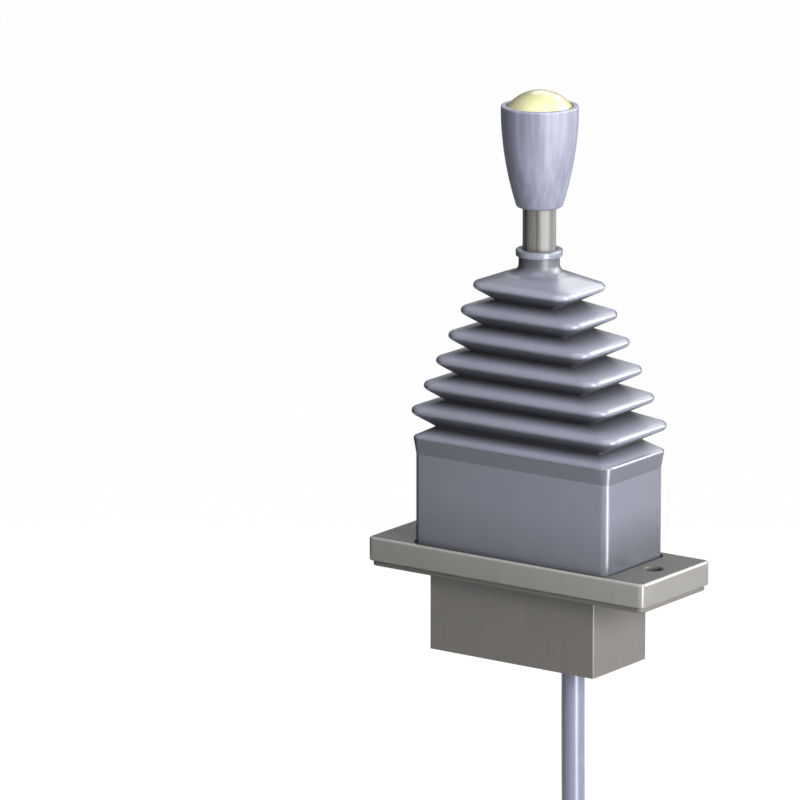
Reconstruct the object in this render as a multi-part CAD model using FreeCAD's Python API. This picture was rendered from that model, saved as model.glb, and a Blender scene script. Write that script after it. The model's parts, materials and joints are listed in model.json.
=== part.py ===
import FreeCAD, Part
import math
import os

# Industrial single-axis joystick, millimetres, +Z up.
# The origin is the centre of the panel face, under the flange's gasket.
# X runs along the flange, which is the way the lever swings, and Y across it.

Vector = FreeCAD.Vector

# Clearances
running_gap = 0.03      # a shaft turning in its bush, on the radius
seat_gap = 0.02         # a pressed or bonded piece in its seat, on the radius
slip_gap = 0.05         # pieces that slide or are put together by hand
soft_gap = 0.3          # a rubber piece beside its neighbour
travel_gap = 0.2        # what is left at the end of a travel

# Motion
pivot_height = 27.0
tilt_limit = 20.0
button_travel = 2.0

# Panel gasket and mounting flange
gasket_thickness = 2.0
gasket_inset = 1.0
flange_length = 120.0
flange_width = 44.0
flange_thickness = 8.7
flange_corner = 2.5
flange_bevel = 0.8
mounting_edge = 10.0       # from a hole to the flange's end
mounting_hole = 6.6
pocket_depth = 1.5
pocket_margin = 0.7
window_length = 54.0
window_corner = 2.0

# Bellows boot: skirt, shoulder, fins and neck
skirt_length = 84.6
skirt_width = 36.8
skirt_corner = 3.4
skirt_wall = 2.0
flare_height = 43.5
rim_height = 49.4
shoulder_rise = 1.9
rim_flare = 1.0
rim_round = 1.0
bead_height = 18.0
bead_size = 1.4
bead_depth = 0.6
fin_count = 6
fin_pitch = 9.584
top_fin_height = 107.4
top_fin_length = 43.0
top_fin_width = 26.0
fin_length_step = 9.08
fin_width_step = 2.42
fin_corner = 4.0
lip_thickness = 3.2
lip_round = 1.8
lip_depth = 2.8
valley_drop = 5.6
valley_height = 0.8
valley_inset_x = 9.2
valley_inset_y = 5.5
valley_corner = 1.0
boot_wall = 1.2
neck_diameter = 14.8
neck_rise = 4.2
neck_flare = 2.4
crown_inset_x = 10.9
crown_inset_y = 4.5
crown_corner = 3.0
crown_inner_margin = 0.5
crown_inner_drop = 2.0
fin_inner_corner = 3.0
collar_diameter = 16.9
collar_rise = 6.9
collar_thickness = 2.5
collar_round = 0.5

# Support frame inside the skirt
frame_wall = 2.5
frame_top = 46.5
deck_thickness = 2.5
slot_side_gap = 0.8
slot_corner = 1.0
wing_corner = 0.4
bumper_depth = 2.2
bumper_wing = 1.5
end_boss_diameter = 7.2
end_boss_height = 12.0
end_boss_cap = 2.0
end_boss_web = 2.4
frame_chamfer = 0.6
join_overlap = 0.5      # how far a joined piece reaches into its neighbour

# Pivot: shaft, bushes, washers
pivot_diameter = 8.0
pivot_end_gap = 0.2
bush_outer = 12.0
bush_flange = 13.0
bush_flange_thickness = 1.0
washer_diameter = 12.5
washer_thickness = 0.6

# Lever hub
hub_width = 13.0
hub_diameter = 18.0
spool_diameter = 13.0
socket_diameter = 17.0
socket_top = 41.5
tail_length_x = 10.0
tail_width_y = 8.0
tail_depth = 32.0
pin_diameter = 2.5
pin_height = 34.3
pivot_pin_inset = 0.6
shaft_pin_inset = 0.5
shaft_seat_wall = 0.6
shaft_chamfer = 0.5
hub_chamfer = 0.6

# Centring spring and what its legs press on
spring_wire = 1.4
spring_diameter = 15.0
spring_turns = 3
spring_pitch = 1.45
spring_leg = 23.0
anchor_top = 14.0
anchor_thickness = 3.0
rivet_diameter = 2.6
rivet_spacing = 8.0
tongue_thickness = 4.0
tongue_drop = 2.0

# Magnet at the tail's end
holder_wall = 1.6
holder_height = 8.0
holder_corner = 1.5
magnet_diameter = 6.0
magnet_thickness = 2.5

# Lever shaft and grip
shaft_diameter = 12.0
shaft_bore = 7.0
shaft_top = 146.0
grip_bottom = 136.4
grip_top = 173.0
grip_foot_diameter = 16.4
grip_middle_height = 154.0
grip_middle_diameter = 24.8
grip_shoulder_height = 170.0
grip_diameter = 27.8
grip_round = 1.0
rim_wall = 1.85
insert_diameter = 15.6
insert_length = 5.5
grip_lip_round = 0.4
wire_room = 1.2

# Push button and its switch
cap_gap = 0.1
cap_rise = 5.5
cap_edge_drop = 0.8
cap_side = 5.5
cap_wall = 1.6
cap_stem_diameter = 5.2
clip_angle = 24.0
clip_width = 1.2
clip_hook = 0.5
clip_hook_height = 1.8
clip_root = 2.0
clip_root_wall = 0.2
clip_window_angle = 2.0
clip_count = 3
carrier_thickness = 1.5
carrier_ledge = 0.85
clip_room = 4.5
switch_diameter = 16.6
switch_height = 12.0
switch_wall = 1.3
plunger_diameter = 4.0
plunger_rise = 3.5
plunger_collar = 1.0
bridge_drop = 3.2
bridge_diameter = 9.0
bridge_thickness = 0.5
terminal_thickness = 0.8
terminal_width = 2.4
terminal_drop = 1.7
return_wire = 0.9
return_diameter = 11.2
return_height = 7.5
return_turns = 5

# Switch leads down the lever
lead_diameter = 1.4
lead_spacing = 3.8
lead_slot_bottom = 35.9
lead_slot_top = 45.0
lead_bend_height = 41.8
lead_pair = 0.8
lead_loop = [
    (7.5, -11.0, 35.5),
    (10.6, -11.0, 26.0),
    (12.0, -10.6, 10.0),
    (13.0, -9.4, -1.0),
]
lead_turn_y = -10.4
lead_turn_z = 38.0

# Lower housing, circuit board and what is on it
housing_length = 71.4
housing_width = 33.7
housing_depth = 28.5
housing_corner = 0.6
housing_wall = 2.0
housing_floor = 2.5
housing_inner_corner = 1.5
board_length = 51.0
board_width = 26.8
board_thickness = 1.6
board_height = -13.0
standoff_diameter = 5.0
standoff_x = 22.0
standoff_y = 10.0
board_corner = 1.0
chip_chamfer = 0.25
moulded_corner = 0.5
chip_length = 4.0
chip_width = 3.0
chip_thickness = 1.2
chip_spacing = 7.0
plug_length = 5.0
plug_width = 5.0
plug_x = 14.0
plug_y = -8.0
plug_height = 2.5
header_length = 12.0
header_width = 7.0
header_height = 4.0

# Screws
screw_diameter = 3.0
screw_head = 5.6
board_screw_diameter = 2.5
board_screw_head = 4.4
board_screw_head_height = 1.5
board_screw_reach = 5.0
screw_end_gap = 1.0
screw_socket = 2.3
screw_socket_depth = 1.2
column_hole_cap = 1.0
frame_screw_x = 31.5
frame_screw_y = 5.0
column_diameter = 8.0
column_x = 30.2
column_y = 11.3
screw_clearance = 0.2

# Cable, its grommet and its retainer
cable_diameter = 8.4
cable_x = 15.6
cable_top = -21.0
grommet_hole = 13.0
grommet_flange = 15.0
grommet_flange_thickness = 1.3
grommet_tail = 2.0
grommet_tail_diameter = 10.4
retainer_diameter = 12.4
retainer_height = 3.0
core_count = 6
core_diameter = 1.7
core_circle = 5.2

# Cable route, from the housing down to the end of the jacket
cable_route = [
    (cable_x, 0.0, cable_top),
    (cable_x, 0.0, -82.0),
    (17.4, 0.6, -143.0),
    (21.4, 1.7, -208.0),
]

# Connector on the cable's end
fan_length = 22.0
seal_length = 9.0
seal_width = 15.0
seal_thickness = 10.0
body_length = 19.0
body_width = 17.6
body_thickness = 12.6
nose_length = 13.0
nose_width = 14.2
nose_thickness = 9.4
shoulder_length = 2.4
shoulder_margin = 1.0
contact_spacing = 4.2
contact_row_gap = 4.6
contact_diameter = 1.5
latch_length = 16.0
latch_width = 6.0
latch_thickness = 1.4
latch_lift = 1.0
key_width = 3.0
key_height = 1.3
wedge_thickness = 1.6
wedge_margin = 1.2
wedge_corner = 0.8
seal_corner = 3.0
seal_rib = 0.6
body_corner = 2.2
body_round = 0.6
nose_corner = 1.6
key_place = 0.3          # share of the nose's width
key_setback = 4.0
latch_setback = 2.0
latch_pad = 3.0
latch_round = 0.4
latch_step_inset = 0.5
latch_step_length = 2.2
latch_step_height = 0.8
contact_setback = 0.8

# Levels and half sizes that follow from the values above
flange_bottom = gasket_thickness
flange_top = flange_bottom + flange_thickness
pocket_floor = flange_top - pocket_depth
mounting_spacing = flange_length - 2 * mounting_edge
neck_base = top_fin_height + neck_rise
collar_base = neck_base + collar_rise
crown_half_x = top_fin_length / 2 - crown_inset_x
crown_half_y = top_fin_width / 2 - crown_inset_y
housing_bottom = -housing_depth
frame_half_x = skirt_length / 2 - skirt_wall - soft_gap
frame_half_y = skirt_width / 2 - skirt_wall - soft_gap
frame_corner = max(skirt_corner - skirt_wall - soft_gap, 0.5)
frame_inner_x = frame_half_x - frame_wall
frame_inner_y = frame_half_y - frame_wall
deck_bottom = frame_top - deck_thickness
shaft_radius = shaft_diameter / 2
spool_end = frame_inner_y - bush_flange_thickness - washer_thickness - 2 * slip_gap
tail_bottom = pivot_height - tail_depth
shaft_bottom = pivot_height + pivot_diameter / 2 + shaft_seat_wall
boss_top = pocket_floor + end_boss_height
collar_top = collar_base + collar_thickness
cap_radius = grip_diameter / 2 - rim_wall - cap_gap
cap_top = grip_top + cap_rise
cap_edge = grip_top - cap_edge_drop
cap_bottom = cap_edge - cap_side
carrier_top = cap_bottom - button_travel - travel_gap
carrier_bottom = carrier_top - carrier_thickness
switch_top = carrier_bottom
switch_bottom = switch_top - switch_height
clip_outer = cap_radius - cap_wall
clip_inner = clip_outer - clip_width
plunger_top = carrier_top + plunger_rise
bridge_top = switch_top - switch_wall - bridge_drop
contact_top = bridge_top - bridge_thickness - button_travel - 2 * slip_gap
terminal_end = switch_bottom - terminal_drop + soft_gap


def rounded_wire(half_x, half_y, radius, height):
    """Rounded rectangle of four lines and four arcs, level at the height."""
    radius = min(radius, half_x - 0.01, half_y - 0.01)
    bow = radius * (1 - math.sqrt(0.5))
    edges = []
    corners = [(1, -1), (1, 1), (-1, 1), (-1, -1)]
    ends = []
    for sx, sy in corners:
        a = Vector(sx * (half_x - radius), sy * half_y, height)
        b = Vector(sx * half_x, sy * (half_y - radius), height)
        middle = Vector(sx * (half_x - bow), sy * (half_y - bow), height)
        if sx * sy > 0:
            a, b = b, a
        ends.append((a, middle, b))
    for place, (a, middle, b) in enumerate(ends):
        edges.append(Part.Arc(a, middle, b).toShape())
        following = ends[(place + 1) % 4][0]
        edges.append(Part.LineSegment(b, following).toShape())
    return Part.Wire(edges)


def block(half_x, half_y, radius, bottom, top):
    """Upright block with rounded corners."""
    face = Part.Face(rounded_wire(half_x, half_y, radius, bottom))
    return face.extrude(Vector(0, 0, top - bottom))


def box(x0, x1, y0, y1, z0, z1):
    return Part.makeBox(x1 - x0, y1 - y0, z1 - z0, Vector(x0, y0, z0))


def cylinder(radius, bottom, top, x=0.0, y=0.0):
    return Part.makeCylinder(radius, top - bottom, Vector(x, y, bottom))


def cylinder_y(radius, start, end, x=0.0, z=pivot_height):
    return Part.makeCylinder(radius, end - start, Vector(x, start, z), Vector(0, 1, 0))


def cone(low_radius, high_radius, bottom, top, x=0.0, y=0.0):
    return Part.makeCone(low_radius, high_radius, top - bottom, Vector(x, y, bottom))


def revolve(edges):
    """Solid of a closed outline in the XZ plane turned about Z."""
    return Part.Face(Part.Wire(edges)).revolve(Vector(0, 0, 0), Vector(0, 0, 1), 360)


def line(a, b):
    return Part.LineSegment(Vector(a[0], 0, a[1]), Vector(b[0], 0, b[1])).toShape()


def arc(a, middle, b):
    points = [Vector(p[0], 0, p[1]) for p in (a, middle, b)]
    return Part.Arc(*points).toShape()


def ring_edges(shape, height):
    """The edges that lie level at one height."""
    found = []
    for edge in shape.Edges:
        bound = edge.BoundBox
        if abs(bound.ZMin - height) < 1e-4 and abs(bound.ZMax - height) < 1e-4:
            found.append(edge)
    return found


def tube(points, diameter):
    """Round tube along straight runs joined by tangent arcs, and its arc radii."""
    route = [Vector(*point) for point in points]
    edges = []
    radii = []
    start = route[0]
    for before, corner, after in zip(route, route[1:], route[2:]):
        back = before - corner
        ahead = after - corner
        reach = 0.45 * min(back.Length, ahead.Length)
        turn = math.pi - back.getAngle(ahead)
        radius = reach / math.tan(turn / 2)
        back.normalize()
        ahead.normalize()
        enter = corner + back * reach
        leave = corner + ahead * reach
        inward = (back + ahead).normalize()
        centre_distance = radius / math.cos(turn / 2)
        middle = corner + inward * (centre_distance - radius)
        edges.append(Part.LineSegment(start, enter).toShape())
        edges.append(Part.Arc(enter, middle, leave).toShape())
        radii.append(radius)
        start = leave
    edges.append(Part.LineSegment(start, route[-1]).toShape())
    path = Part.Wire(edges)
    section = Part.Wire(Part.makeCircle(diameter / 2, route[0], route[1] - route[0]))
    return path.makePipeShell([section], True, False), radii


def coil(diameter, wire, pitch, turns, bottom):
    """Helical wire about Z, its centre line starting at the bottom height."""
    path = Part.makeHelix(pitch, pitch * turns, diameter / 2)
    section = Part.Wire(Part.makeCircle(wire / 2, Vector(diameter / 2, 0, 0), Vector(0, 1, 0)))
    shape = Part.Wire(path).makePipeShell([section], True, True)
    shape.translate(Vector(0, 0, bottom))
    return shape


def four_corners(x, y):
    return [(sx * x, sy * y) for sx in (1, -1) for sy in (1, -1)]


# Panel gasket and mounting flange

def mounting_holes(bottom, top):
    holes = [cylinder(mounting_hole / 2, bottom, top, side * mounting_spacing / 2)
             for side in (1, -1)]
    return holes[0].fuse(holes[1])


def make_mounting_flange():
    shape = block(flange_length / 2, flange_width / 2, flange_corner, flange_bottom, flange_top)
    shape = shape.makeChamfer(flange_bevel, ring_edges(shape, flange_top))
    pocket_corner = skirt_corner + pocket_margin
    shape = shape.cut(block(skirt_length / 2 + pocket_margin, skirt_width / 2 + pocket_margin,
                            pocket_corner, pocket_floor, flange_top + 1))
    shape = shape.cut(block(window_length / 2, frame_inner_y, window_corner,
                            flange_bottom - 1, flange_top))
    shape = shape.cut(mounting_holes(flange_bottom - 1, flange_top + 1))
    for x, y in four_corners(frame_screw_x, frame_screw_y):
        shape = shape.cut(countersunk(x, y, flange_bottom, pocket_floor + 1, screw_clearance))
    for x, y in four_corners(column_x, column_y):
        shape = shape.cut(cylinder(screw_diameter / 2 + seat_gap, flange_bottom - 1,
                                   pocket_floor - column_hole_cap, x, y))
    return shape


def make_flange_gasket():
    shape = block(flange_length / 2 - gasket_inset, flange_width / 2 - gasket_inset,
                  flange_corner, 0, flange_bottom)
    shape = shape.cut(block(housing_length / 2 + soft_gap, housing_width / 2 + soft_gap,
                            housing_corner + soft_gap, -1, flange_bottom + 1))
    return shape.cut(mounting_holes(-1, flange_bottom + 1))


# Screws

def countersunk(x, y, bottom, top, extra=0.0):
    """Countersunk screw, or with extra its hole, with the head at the bottom."""
    head = screw_head / 2 + extra
    stem = screw_diameter / 2 + extra
    shape = cone(head, stem, bottom, bottom + head - stem, x, y)
    return shape.fuse(cylinder(stem, bottom, top, x, y))


def make_frame_screws():
    top = boss_top - end_boss_cap - screw_end_gap
    return [drive_recess(countersunk(x, y, flange_bottom, top), x, y, flange_bottom)
            for x, y in four_corners(frame_screw_x, frame_screw_y)]


def drive_recess(screw, x, y, bottom):
    """Cut a hexagon socket into the head."""
    radius = screw_socket / 2
    points = []
    for step in range(7):
        angle = math.radians(60 * step)
        points.append(Vector(x + radius * math.cos(angle), y + radius * math.sin(angle), bottom))
    socket = Part.Face(Part.makePolygon(points)).extrude(Vector(0, 0, screw_socket_depth))
    return screw.cut(socket)


def make_housing_screws():
    head_top = housing_bottom + screw_diameter
    top = pocket_floor - column_hole_cap - screw_end_gap
    screws = []
    for x, y in four_corners(column_x, column_y):
        head = cylinder(screw_head / 2, housing_bottom, head_top, x, y)
        screw = head.fuse(cylinder(screw_diameter / 2, head_top, top, x, y))
        screws.append(drive_recess(screw, x, y, housing_bottom))
    return screws


def make_board_screws():
    screws = []
    head_top = board_height + board_screw_head_height
    for x, y in four_corners(standoff_x, standoff_y):
        head = cylinder(board_screw_head / 2, board_height, head_top, x, y)
        stem = cylinder(board_screw_diameter / 2,
                        board_height - board_thickness - board_screw_reach,
                        board_height, x, y)
        screws.append(head.fuse(stem))
    return screws


# Bellows boot

def fin_half(place):
    """Half length and half width of a fin, counted from the top."""
    return (top_fin_length / 2 + place * fin_length_step / 2,
            top_fin_width / 2 + place * fin_width_step / 2)


def fin_height(place):
    return top_fin_height - place * fin_pitch


def valley_section(place, height, inset=0.0):
    """Rounded rectangle of the neck between a fin and the next one."""
    half_x, half_y = fin_half(place)
    return rounded_wire(half_x - valley_inset_x - inset, half_y - valley_inset_y - inset,
                        valley_corner, height)


def valley_top(place):
    return fin_height(place) - valley_drop


def valley_floor(place):
    """Height at which the next fin, or the shoulder, starts."""
    if place == fin_count - 1:
        return rim_height + shoulder_rise
    return valley_top(place) - valley_height


def make_fin(place):
    """One fin between two valleys, with a full round lip."""
    half_x, half_y = fin_half(place)
    height = fin_height(place)
    upper = height + lip_thickness / 2
    lower = height - lip_thickness / 2
    if place == 0:
        above = rounded_wire(crown_half_x, crown_half_y, crown_corner, neck_base)
    else:
        above = valley_section(place - 1, valley_floor(place - 1))
    sections = [above,
                rounded_wire(half_x, half_y, fin_corner, upper),
                rounded_wire(half_x, half_y, fin_corner, lower),
                valley_section(place, valley_top(place)),
                valley_section(place, valley_floor(place))]
    shape = Part.makeLoft(sections, True, True)
    return shape.makeFillet(lip_round, ring_edges(shape, upper) + ring_edges(shape, lower))


def make_boot_outside():
    half_x = skirt_length / 2
    half_y = skirt_width / 2
    sections = [rounded_wire(half_x, half_y, skirt_corner, pocket_floor),
                rounded_wire(half_x, half_y, skirt_corner, flare_height),
                rounded_wire(half_x + rim_flare, half_y + rim_flare,
                             skirt_corner + rim_flare, rim_height),
                valley_section(fin_count - 1, valley_floor(fin_count - 1))]
    skirt = Part.makeLoft(sections, True, True)
    skirt = skirt.makeFillet(rim_round, ring_edges(skirt, rim_height))
    fins = [make_fin(place) for place in range(fin_count)]
    return skirt.multiFuse(fins + [make_neck()])


def make_neck():
    """Round neck that flares onto the top fin, with a bead at its mouth."""
    radius = neck_diameter / 2
    foot = radius + neck_flare
    bend = neck_flare * (1 - math.sqrt(0.5))
    edges = [line((0, neck_base), (foot, neck_base)),
             arc((foot, neck_base), (radius + bend, neck_base + bend),
                 (radius, neck_base + neck_flare)),
             line((radius, neck_base + neck_flare), (radius, collar_base)),
             line((radius, collar_base), (0, collar_base)),
             line((0, collar_base), (0, neck_base))]
    collar = cylinder(collar_diameter / 2, collar_base, collar_top)
    collar = collar.makeFillet(collar_round, ring_edges(collar, collar_base)
                               + ring_edges(collar, collar_top))
    return revolve(edges).fuse(collar)


def make_boot_inside():
    """The hollow: skirt, fins folded thin, and the shaft's bore."""
    half_x = skirt_length / 2 - skirt_wall
    half_y = skirt_width / 2 - skirt_wall
    corner = skirt_corner - skirt_wall
    ceiling = rim_height - boot_wall
    sections = [rounded_wire(half_x, half_y, corner, pocket_floor - 1),
                rounded_wire(half_x, half_y, corner, ceiling)]
    for place in reversed(range(fin_count)):
        for height in (valley_floor(place), valley_top(place)):
            sections.append(valley_section(place, height, boot_wall))
        fin_x, fin_y = fin_half(place)
        sections.append(rounded_wire(fin_x - lip_depth, fin_y - lip_depth,
                                     fin_inner_corner, fin_height(place)))
    bore = shaft_radius + soft_gap
    crown = bore + crown_inner_margin
    inner_top = neck_base - crown_inner_drop
    sections.append(rounded_wire(crown, crown, crown_corner, inner_top))
    hollow = Part.makeLoft(sections, True, True)
    return hollow.fuse(cylinder(bore, inner_top - 1, collar_top + 1))


def make_bellows_boot():
    shape = make_boot_outside().cut(make_boot_inside())
    half_x = skirt_length / 2 - skirt_wall / 2
    half_y = skirt_width / 2 - skirt_wall / 2
    inner_x = skirt_length / 2 - skirt_wall - bead_depth
    inner_y = skirt_width / 2 - skirt_wall - bead_depth
    low = bead_height - bead_size / 2
    high = bead_height + bead_size / 2
    bead = block(half_x, half_y, skirt_corner - skirt_wall / 2, low, high)
    bead = bead.cut(block(inner_x, inner_y, frame_corner, low - 1, high + 1))
    return shape.fuse(bead).removeSplitter()


# Support frame, with the lever's slot in its deck

def slot_half_x():
    """Half length of the slot: the shaft at full tilt, a gap and a bumper."""
    tilt = math.radians(tilt_limit)
    reach = (frame_top - pivot_height) * math.tan(tilt) + shaft_radius / math.cos(tilt)
    return reach + soft_gap + bumper_depth


def make_support_frame():
    shape = block(frame_half_x, frame_half_y, frame_corner, pocket_floor, frame_top)
    shape = shape.makeChamfer(frame_chamfer, ring_edges(shape, frame_top))
    shape = shape.cut(block(frame_inner_x, frame_inner_y, window_corner,
                            pocket_floor - 1, deck_bottom))
    slot_y = shaft_radius + slot_side_gap
    shape = shape.cut(block(slot_half_x(), slot_y, slot_corner, deck_bottom - 1, frame_top + 1))
    for side in (1, -1):
        wing = block(bumper_wing / 2, slot_y + bumper_wing, wing_corner,
                     deck_bottom - 1, frame_top + 1)
        wing.translate(Vector(side * (slot_half_x() - bumper_depth / 2), 0, 0))
        shape = shape.cut(wing)
    for x, y in four_corners(frame_screw_x, frame_screw_y):
        radius = end_boss_diameter / 2
        boss = cylinder(radius, pocket_floor, boss_top, x, y)
        outer = math.copysign(frame_inner_x + join_overlap, x)
        web = box(min(x, outer), max(x, outer), y - end_boss_web / 2, y + end_boss_web / 2,
                  pocket_floor, boss_top)
        shape = shape.fuse(boss.fuse(web))
    for x, y in four_corners(frame_screw_x, frame_screw_y):
        shape = shape.cut(cylinder(screw_diameter / 2 + seat_gap, pocket_floor - 1,
                                   boss_top - end_boss_cap, x, y))
    shape = shape.cut(cylinder_y(bush_outer / 2 + seat_gap, -frame_half_y - 1, frame_half_y + 1))
    low = bead_height - bead_size / 2 - soft_gap
    high = bead_height + bead_size / 2 + soft_gap
    groove = block(frame_half_x + 1, frame_half_y + 1, frame_corner, low, high)
    depth = bead_depth
    groove = groove.cut(block(frame_half_x - depth, frame_half_y - depth, frame_corner,
                              low - 1, high + 1))
    shape = shape.cut(groove)
    for side in (1, -1):
        shape = shape.cut(cylinder_y(rivet_diameter / 2 + seat_gap, frame_inner_y - 1,
                                     frame_half_y + 1, side * rivet_spacing / 2,
                                     anchor_top - anchor_thickness / 2))
    return shape.removeSplitter()


def make_stop_bumpers():
    """Rubber buffers in the slot's ends, keyed into the deck by two wings."""
    pads = []
    slot_y = shaft_radius + slot_side_gap - slip_gap
    for side in (1, -1):
        middle = side * (slot_half_x() - bumper_depth / 2)
        pad = block(bumper_depth / 2 - slip_gap, slot_y, slot_corner, deck_bottom, frame_top)
        wing = block(bumper_wing / 2 - slip_gap, slot_y + bumper_wing, wing_corner,
                     deck_bottom, frame_top)
        pad = pad.fuse(wing)
        pad.translate(Vector(middle, 0, 0))
        pads.append(pad)
    return pads


# Pivot

def make_bearing_bush(side):
    """Flanged bush pressed into the frame's side wall from inside."""
    sleeve = cylinder_y(bush_outer / 2, frame_inner_y - bush_flange_thickness, frame_half_y)
    flange = cylinder_y(bush_flange / 2, frame_inner_y - bush_flange_thickness, frame_inner_y)
    bore = cylinder_y(pivot_diameter / 2 + running_gap, 0, frame_half_y + 1)
    shape = sleeve.fuse(flange).cut(bore)
    if side < 0:
        shape = shape.mirror(Vector(0, 0, 0), Vector(0, 1, 0))
    return shape


def make_pivot_shaft():
    half = frame_half_y - pivot_end_gap
    shape = cylinder_y(pivot_diameter / 2, -half, half)
    shape = shape.makeChamfer(shaft_chamfer, [edge for edge in shape.Edges if edge.Closed])
    return shape.cut(cross_hole(pivot_height))


def make_thrust_washers():
    washers = []
    for side in (1, -1):
        near = spool_end + slip_gap
        shape = cylinder_y(washer_diameter / 2, near, near + washer_thickness)
        shape = shape.cut(cylinder_y(pivot_diameter / 2 + slip_gap, 0, near + 2))
        if side < 0:
            shape = shape.mirror(Vector(0, 0, 0), Vector(0, 1, 0))
        washers.append(shape)
    return washers


def cross_pin(height, reach):
    """Grooved pin along X."""
    return Part.makeCylinder(pin_diameter / 2, 2 * reach, Vector(-reach, 0, height),
                             Vector(1, 0, 0))


def cross_hole(height):
    """Hole for a cross pin, right through the hub."""
    return Part.makeCylinder(pin_diameter / 2 + seat_gap, 2 * hub_diameter,
                             Vector(-hub_diameter, 0, height), Vector(1, 0, 0))


def make_pivot_pin():
    return cross_pin(pivot_height, hub_diameter / 2 - pivot_pin_inset)


def make_shaft_pin():
    return cross_pin(pin_height, socket_diameter / 2 - shaft_pin_inset)


# Lever hub, which turns with the pivot shaft

def spring_gauge():
    """Half the width between the centring spring's legs, less a gap."""
    return spring_diameter / 2 - spring_wire / 2 - slip_gap


def make_lever_hub():
    half = hub_width / 2
    barrel = cylinder_y(hub_diameter / 2, -half, half)
    spool = cylinder_y(spool_diameter / 2, -spool_end, spool_end)
    spring_room = cylinder_y(spring_diameter / 2 + spring_wire / 2 + soft_gap, half,
                             frame_inner_y)
    socket = cylinder(socket_diameter / 2, pivot_height, socket_top)
    socket = socket.makeChamfer(hub_chamfer, ring_edges(socket, socket_top))
    tail = box(-tail_length_x / 2, tail_length_x / 2, -tail_width_y / 2, tail_width_y / 2,
               tail_bottom, pivot_height)
    tongue_top = anchor_top - anchor_thickness - tongue_drop
    tongue = box(-spring_gauge(), spring_gauge(), tail_width_y / 2 - 1,
                 half + soft_gap + spring_turns * spring_pitch + spring_wire,
                 tongue_top - tongue_thickness, tongue_top)
    shape = barrel.fuse([socket.cut(spring_room), spool, tail, tongue])
    shape = shape.cut(cylinder_y(pivot_diameter / 2 + seat_gap, -spool_end - 1, spool_end + 1))
    shape = shape.cut(cylinder(shaft_radius + seat_gap, shaft_bottom, socket_top + 1))
    slot_half = lead_spacing / 2 + lead_diameter / 2 + soft_gap
    shape = shape.cut(box(-slot_half, slot_half, -socket_diameter, 0,
                          lead_slot_bottom, socket_top + 1))
    for height in (pivot_height, pin_height):
        shape = shape.cut(cross_hole(height))
    return shape.removeSplitter()


# Centring spring, with a leg on each side of the anchor and of the hub's tongue

def make_centring_spring():
    """Torsion spring: a leg up, the coil along Y and a leg down, in one sweep."""
    radius = spring_diameter / 2
    start = hub_width / 2 + soft_gap + spring_wire / 2
    length = spring_pitch * (spring_turns + 0.5)
    helix = Part.makeHelix(spring_pitch, length, radius, 0, True)
    helix.rotate(Vector(0, 0, 0), Vector(1, 0, 0), -90)
    helix.translate(Vector(0, start, pivot_height))
    first = Vector(radius, start, pivot_height)
    last = Vector(-radius, start + length, pivot_height)
    drop = Vector(0, 0, -spring_leg)
    rising = Part.LineSegment(first + drop, first).toShape()
    falling = Part.LineSegment(last, last + drop).toShape()
    path = Part.Wire([rising] + helix.Edges + [falling])
    section = Part.Wire(Part.makeCircle(spring_wire / 2, first + drop, Vector(0, 0, 1)))
    return path.makePipeShell([section], True, True)


def make_spring_anchor():
    """Steel bar riveted to the frame wall between the spring's legs."""
    start = hub_width / 2 + soft_gap
    shape = box(-spring_gauge(), spring_gauge(), start, frame_inner_y,
                anchor_top - anchor_thickness, anchor_top)
    for side in (1, -1):
        shape = shape.fuse(cylinder_y(rivet_diameter / 2, frame_inner_y, frame_half_y,
                                      side * rivet_spacing / 2,
                                      anchor_top - anchor_thickness / 2))
    return shape


# Magnet and its holder on the tail

def holder_bottom():
    return tail_bottom - holder_height / 2


def make_magnet_holder():
    half_x = tail_length_x / 2 + holder_wall
    half_y = tail_width_y / 2 + holder_wall
    bottom = holder_bottom()
    shape = block(half_x, half_y, holder_corner, bottom, bottom + holder_height)
    shape = shape.cut(box(-tail_length_x / 2 - slip_gap, tail_length_x / 2 + slip_gap,
                          -tail_width_y / 2 - slip_gap, tail_width_y / 2 + slip_gap,
                          tail_bottom, bottom + holder_height + 1))
    return shape.cut(cylinder(magnet_diameter / 2 + seat_gap, bottom - 1,
                              bottom + magnet_thickness))


def make_magnet():
    bottom = holder_bottom()
    return cylinder(magnet_diameter / 2, bottom, bottom + magnet_thickness)


# Lever shaft and grip

def make_lever_shaft():
    shape = cylinder(shaft_radius, shaft_bottom, shaft_top)
    shape = shape.makeChamfer(shaft_chamfer, ring_edges(shape, shaft_top))
    shape = shape.cut(cylinder(shaft_bore / 2, shaft_bottom - 1, shaft_top + 1))
    slot_half = lead_spacing / 2 + lead_diameter / 2 + soft_gap
    shape = shape.cut(box(-slot_half, slot_half, -shaft_diameter, 0,
                          lead_slot_bottom, lead_slot_top))
    return shape.cut(cross_hole(pin_height))


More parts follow.
